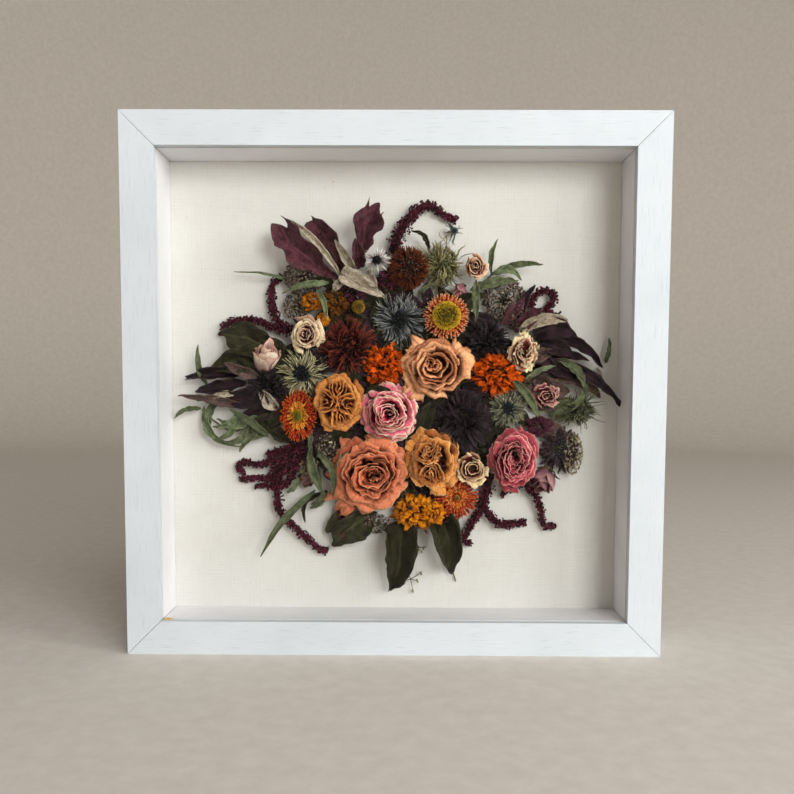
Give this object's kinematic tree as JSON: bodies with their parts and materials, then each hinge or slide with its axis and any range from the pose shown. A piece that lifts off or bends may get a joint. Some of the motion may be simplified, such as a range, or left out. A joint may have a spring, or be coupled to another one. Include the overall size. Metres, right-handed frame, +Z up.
{
  "type": "dried flower box frame",
  "caption": "Square white box frame, glazed, holding a bouquet of dried flowers, seed heads and leaves fixed on a linen-covered board.",
  "frame": {"origin": "centre of the underside of the frame, midway between front and back", "axes": "+Z up, +X to the right seen from the front, -Y out of the glazed front"},
  "size_m": [0.4, 0.056, 0.4],
  "materials": {
    "painted_wood": "white paint over open-grained wood, matt",
    "glass": "clear picture glass",
    "linen": "natural linen, plain weave with slubs",
    "board": "grey board",
    "fibreboard": "pressed fibreboard",
    "kraft_paper": "brown kraft paper",
    "brassed_steel": "brass-plated steel strip",
    "peach_petals": "dried petals, papery",
    "coral_petals": "dried petals, papery",
    "pink_petals": "dried petals, papery",
    "mustard_petals": "dried petals, papery",
    "magenta_petals": "dried petals, papery",
    "cream_petals": "dried petals, papery",
    "orange_bracts": "glossy dry bracts",
    "brown_bracts": "glossy dry bracts",
    "marigold_petals": "dried crinkled florets",
    "dark_petals": "dried dark florets",
    "russet_petals": "dried dark florets",
    "scabious_stars": "dry filaments and bristles",
    "nigella_husk": "dry seed head",
    "seed_husk": "dry seed clusters",
    "amaranth": "knobbly dried tassels",
    "burgundy_leaf": "dried leaf, matt with a paler underside",
    "dark_leaf": "dried leaf, matt",
    "willow_leaf": "dried grey-green leaf",
    "dry_twig": "thin dry twig"
  },
  "bodies": {
    "root": {"rail_top": "painted_wood", "spacer_top": "painted_wood", "rail_bottom": "painted_wood", "spacer_bottom": "painted_wood", "rail_left": "painted_wood", "spacer_left": "painted_wood", "rail_right": "painted_wood", "spacer_right": "painted_wood", "glass_pane": "glass", "linen_backing": "linen", "mount_board": "board", "back_panel": "fibreboard", "dust_cover": "kraft_paper", "sawtooth_hanger": "brassed_steel", "rose_peach": "peach_petals", "rose_coral": "coral_petals", "rose_pink_cream": "pink_petals", "rose_mustard": "mustard_petals", "rose_gold": "mustard_petals", "rose_magenta": "magenta_petals", "spray_rose_cream": "cream_petals", "spray_rose_small": "cream_petals", "spray_rose_faded": "cream_petals", "rosebud_blush": "pink_petals", "rosebud_right": "pink_petals", "rosebud_top": "peach_petals", "strawflower_top": "orange_bracts", "strawflower_left": "orange_bracts", "strawflower_low": "orange_bracts", "strawflower_brown": "brown_bracts", "scabious_blue": "scabious_stars", "scabious_left": "scabious_stars", "scabious_right": "scabious_stars", "dahlia_dark": "dark_petals", "chrysanthemum_russet": "russet_petals", "marigold_centre": "marigold_petals", "marigold_right": "marigold_petals", "marigold_low": "marigold_petals", "thistle_dark_top": "dark_petals", "thistle_dark_left": "dark_petals", "bloom_dark_right": "dark_petals", "nigella_top": "nigella_husk", "nigella_right": "nigella_husk", "seed_spray_top_left": "seed_husk", "seed_spray_top_right": "seed_husk", "amaranth_top": "amaranth", "amaranth_left": "amaranth", "amaranth_low_left": "amaranth", "amaranth_low_right": "amaranth", "amaranth_loop_right": "amaranth", "leaves_top_left": "burgundy_leaf", "leaves_left": "dark_leaf", "willow_left": "willow_leaf", "willow_low_left": "willow_leaf", "leaf_low_green": "dark_leaf", "leaf_bottom_large": "dark_leaf", "leaf_bottom_small": "dark_leaf", "bud_sprig": "dry_twig", "willow_top_right": "willow_leaf", "leaves_right": "burgundy_leaf"}
  },
  "joints": []
}
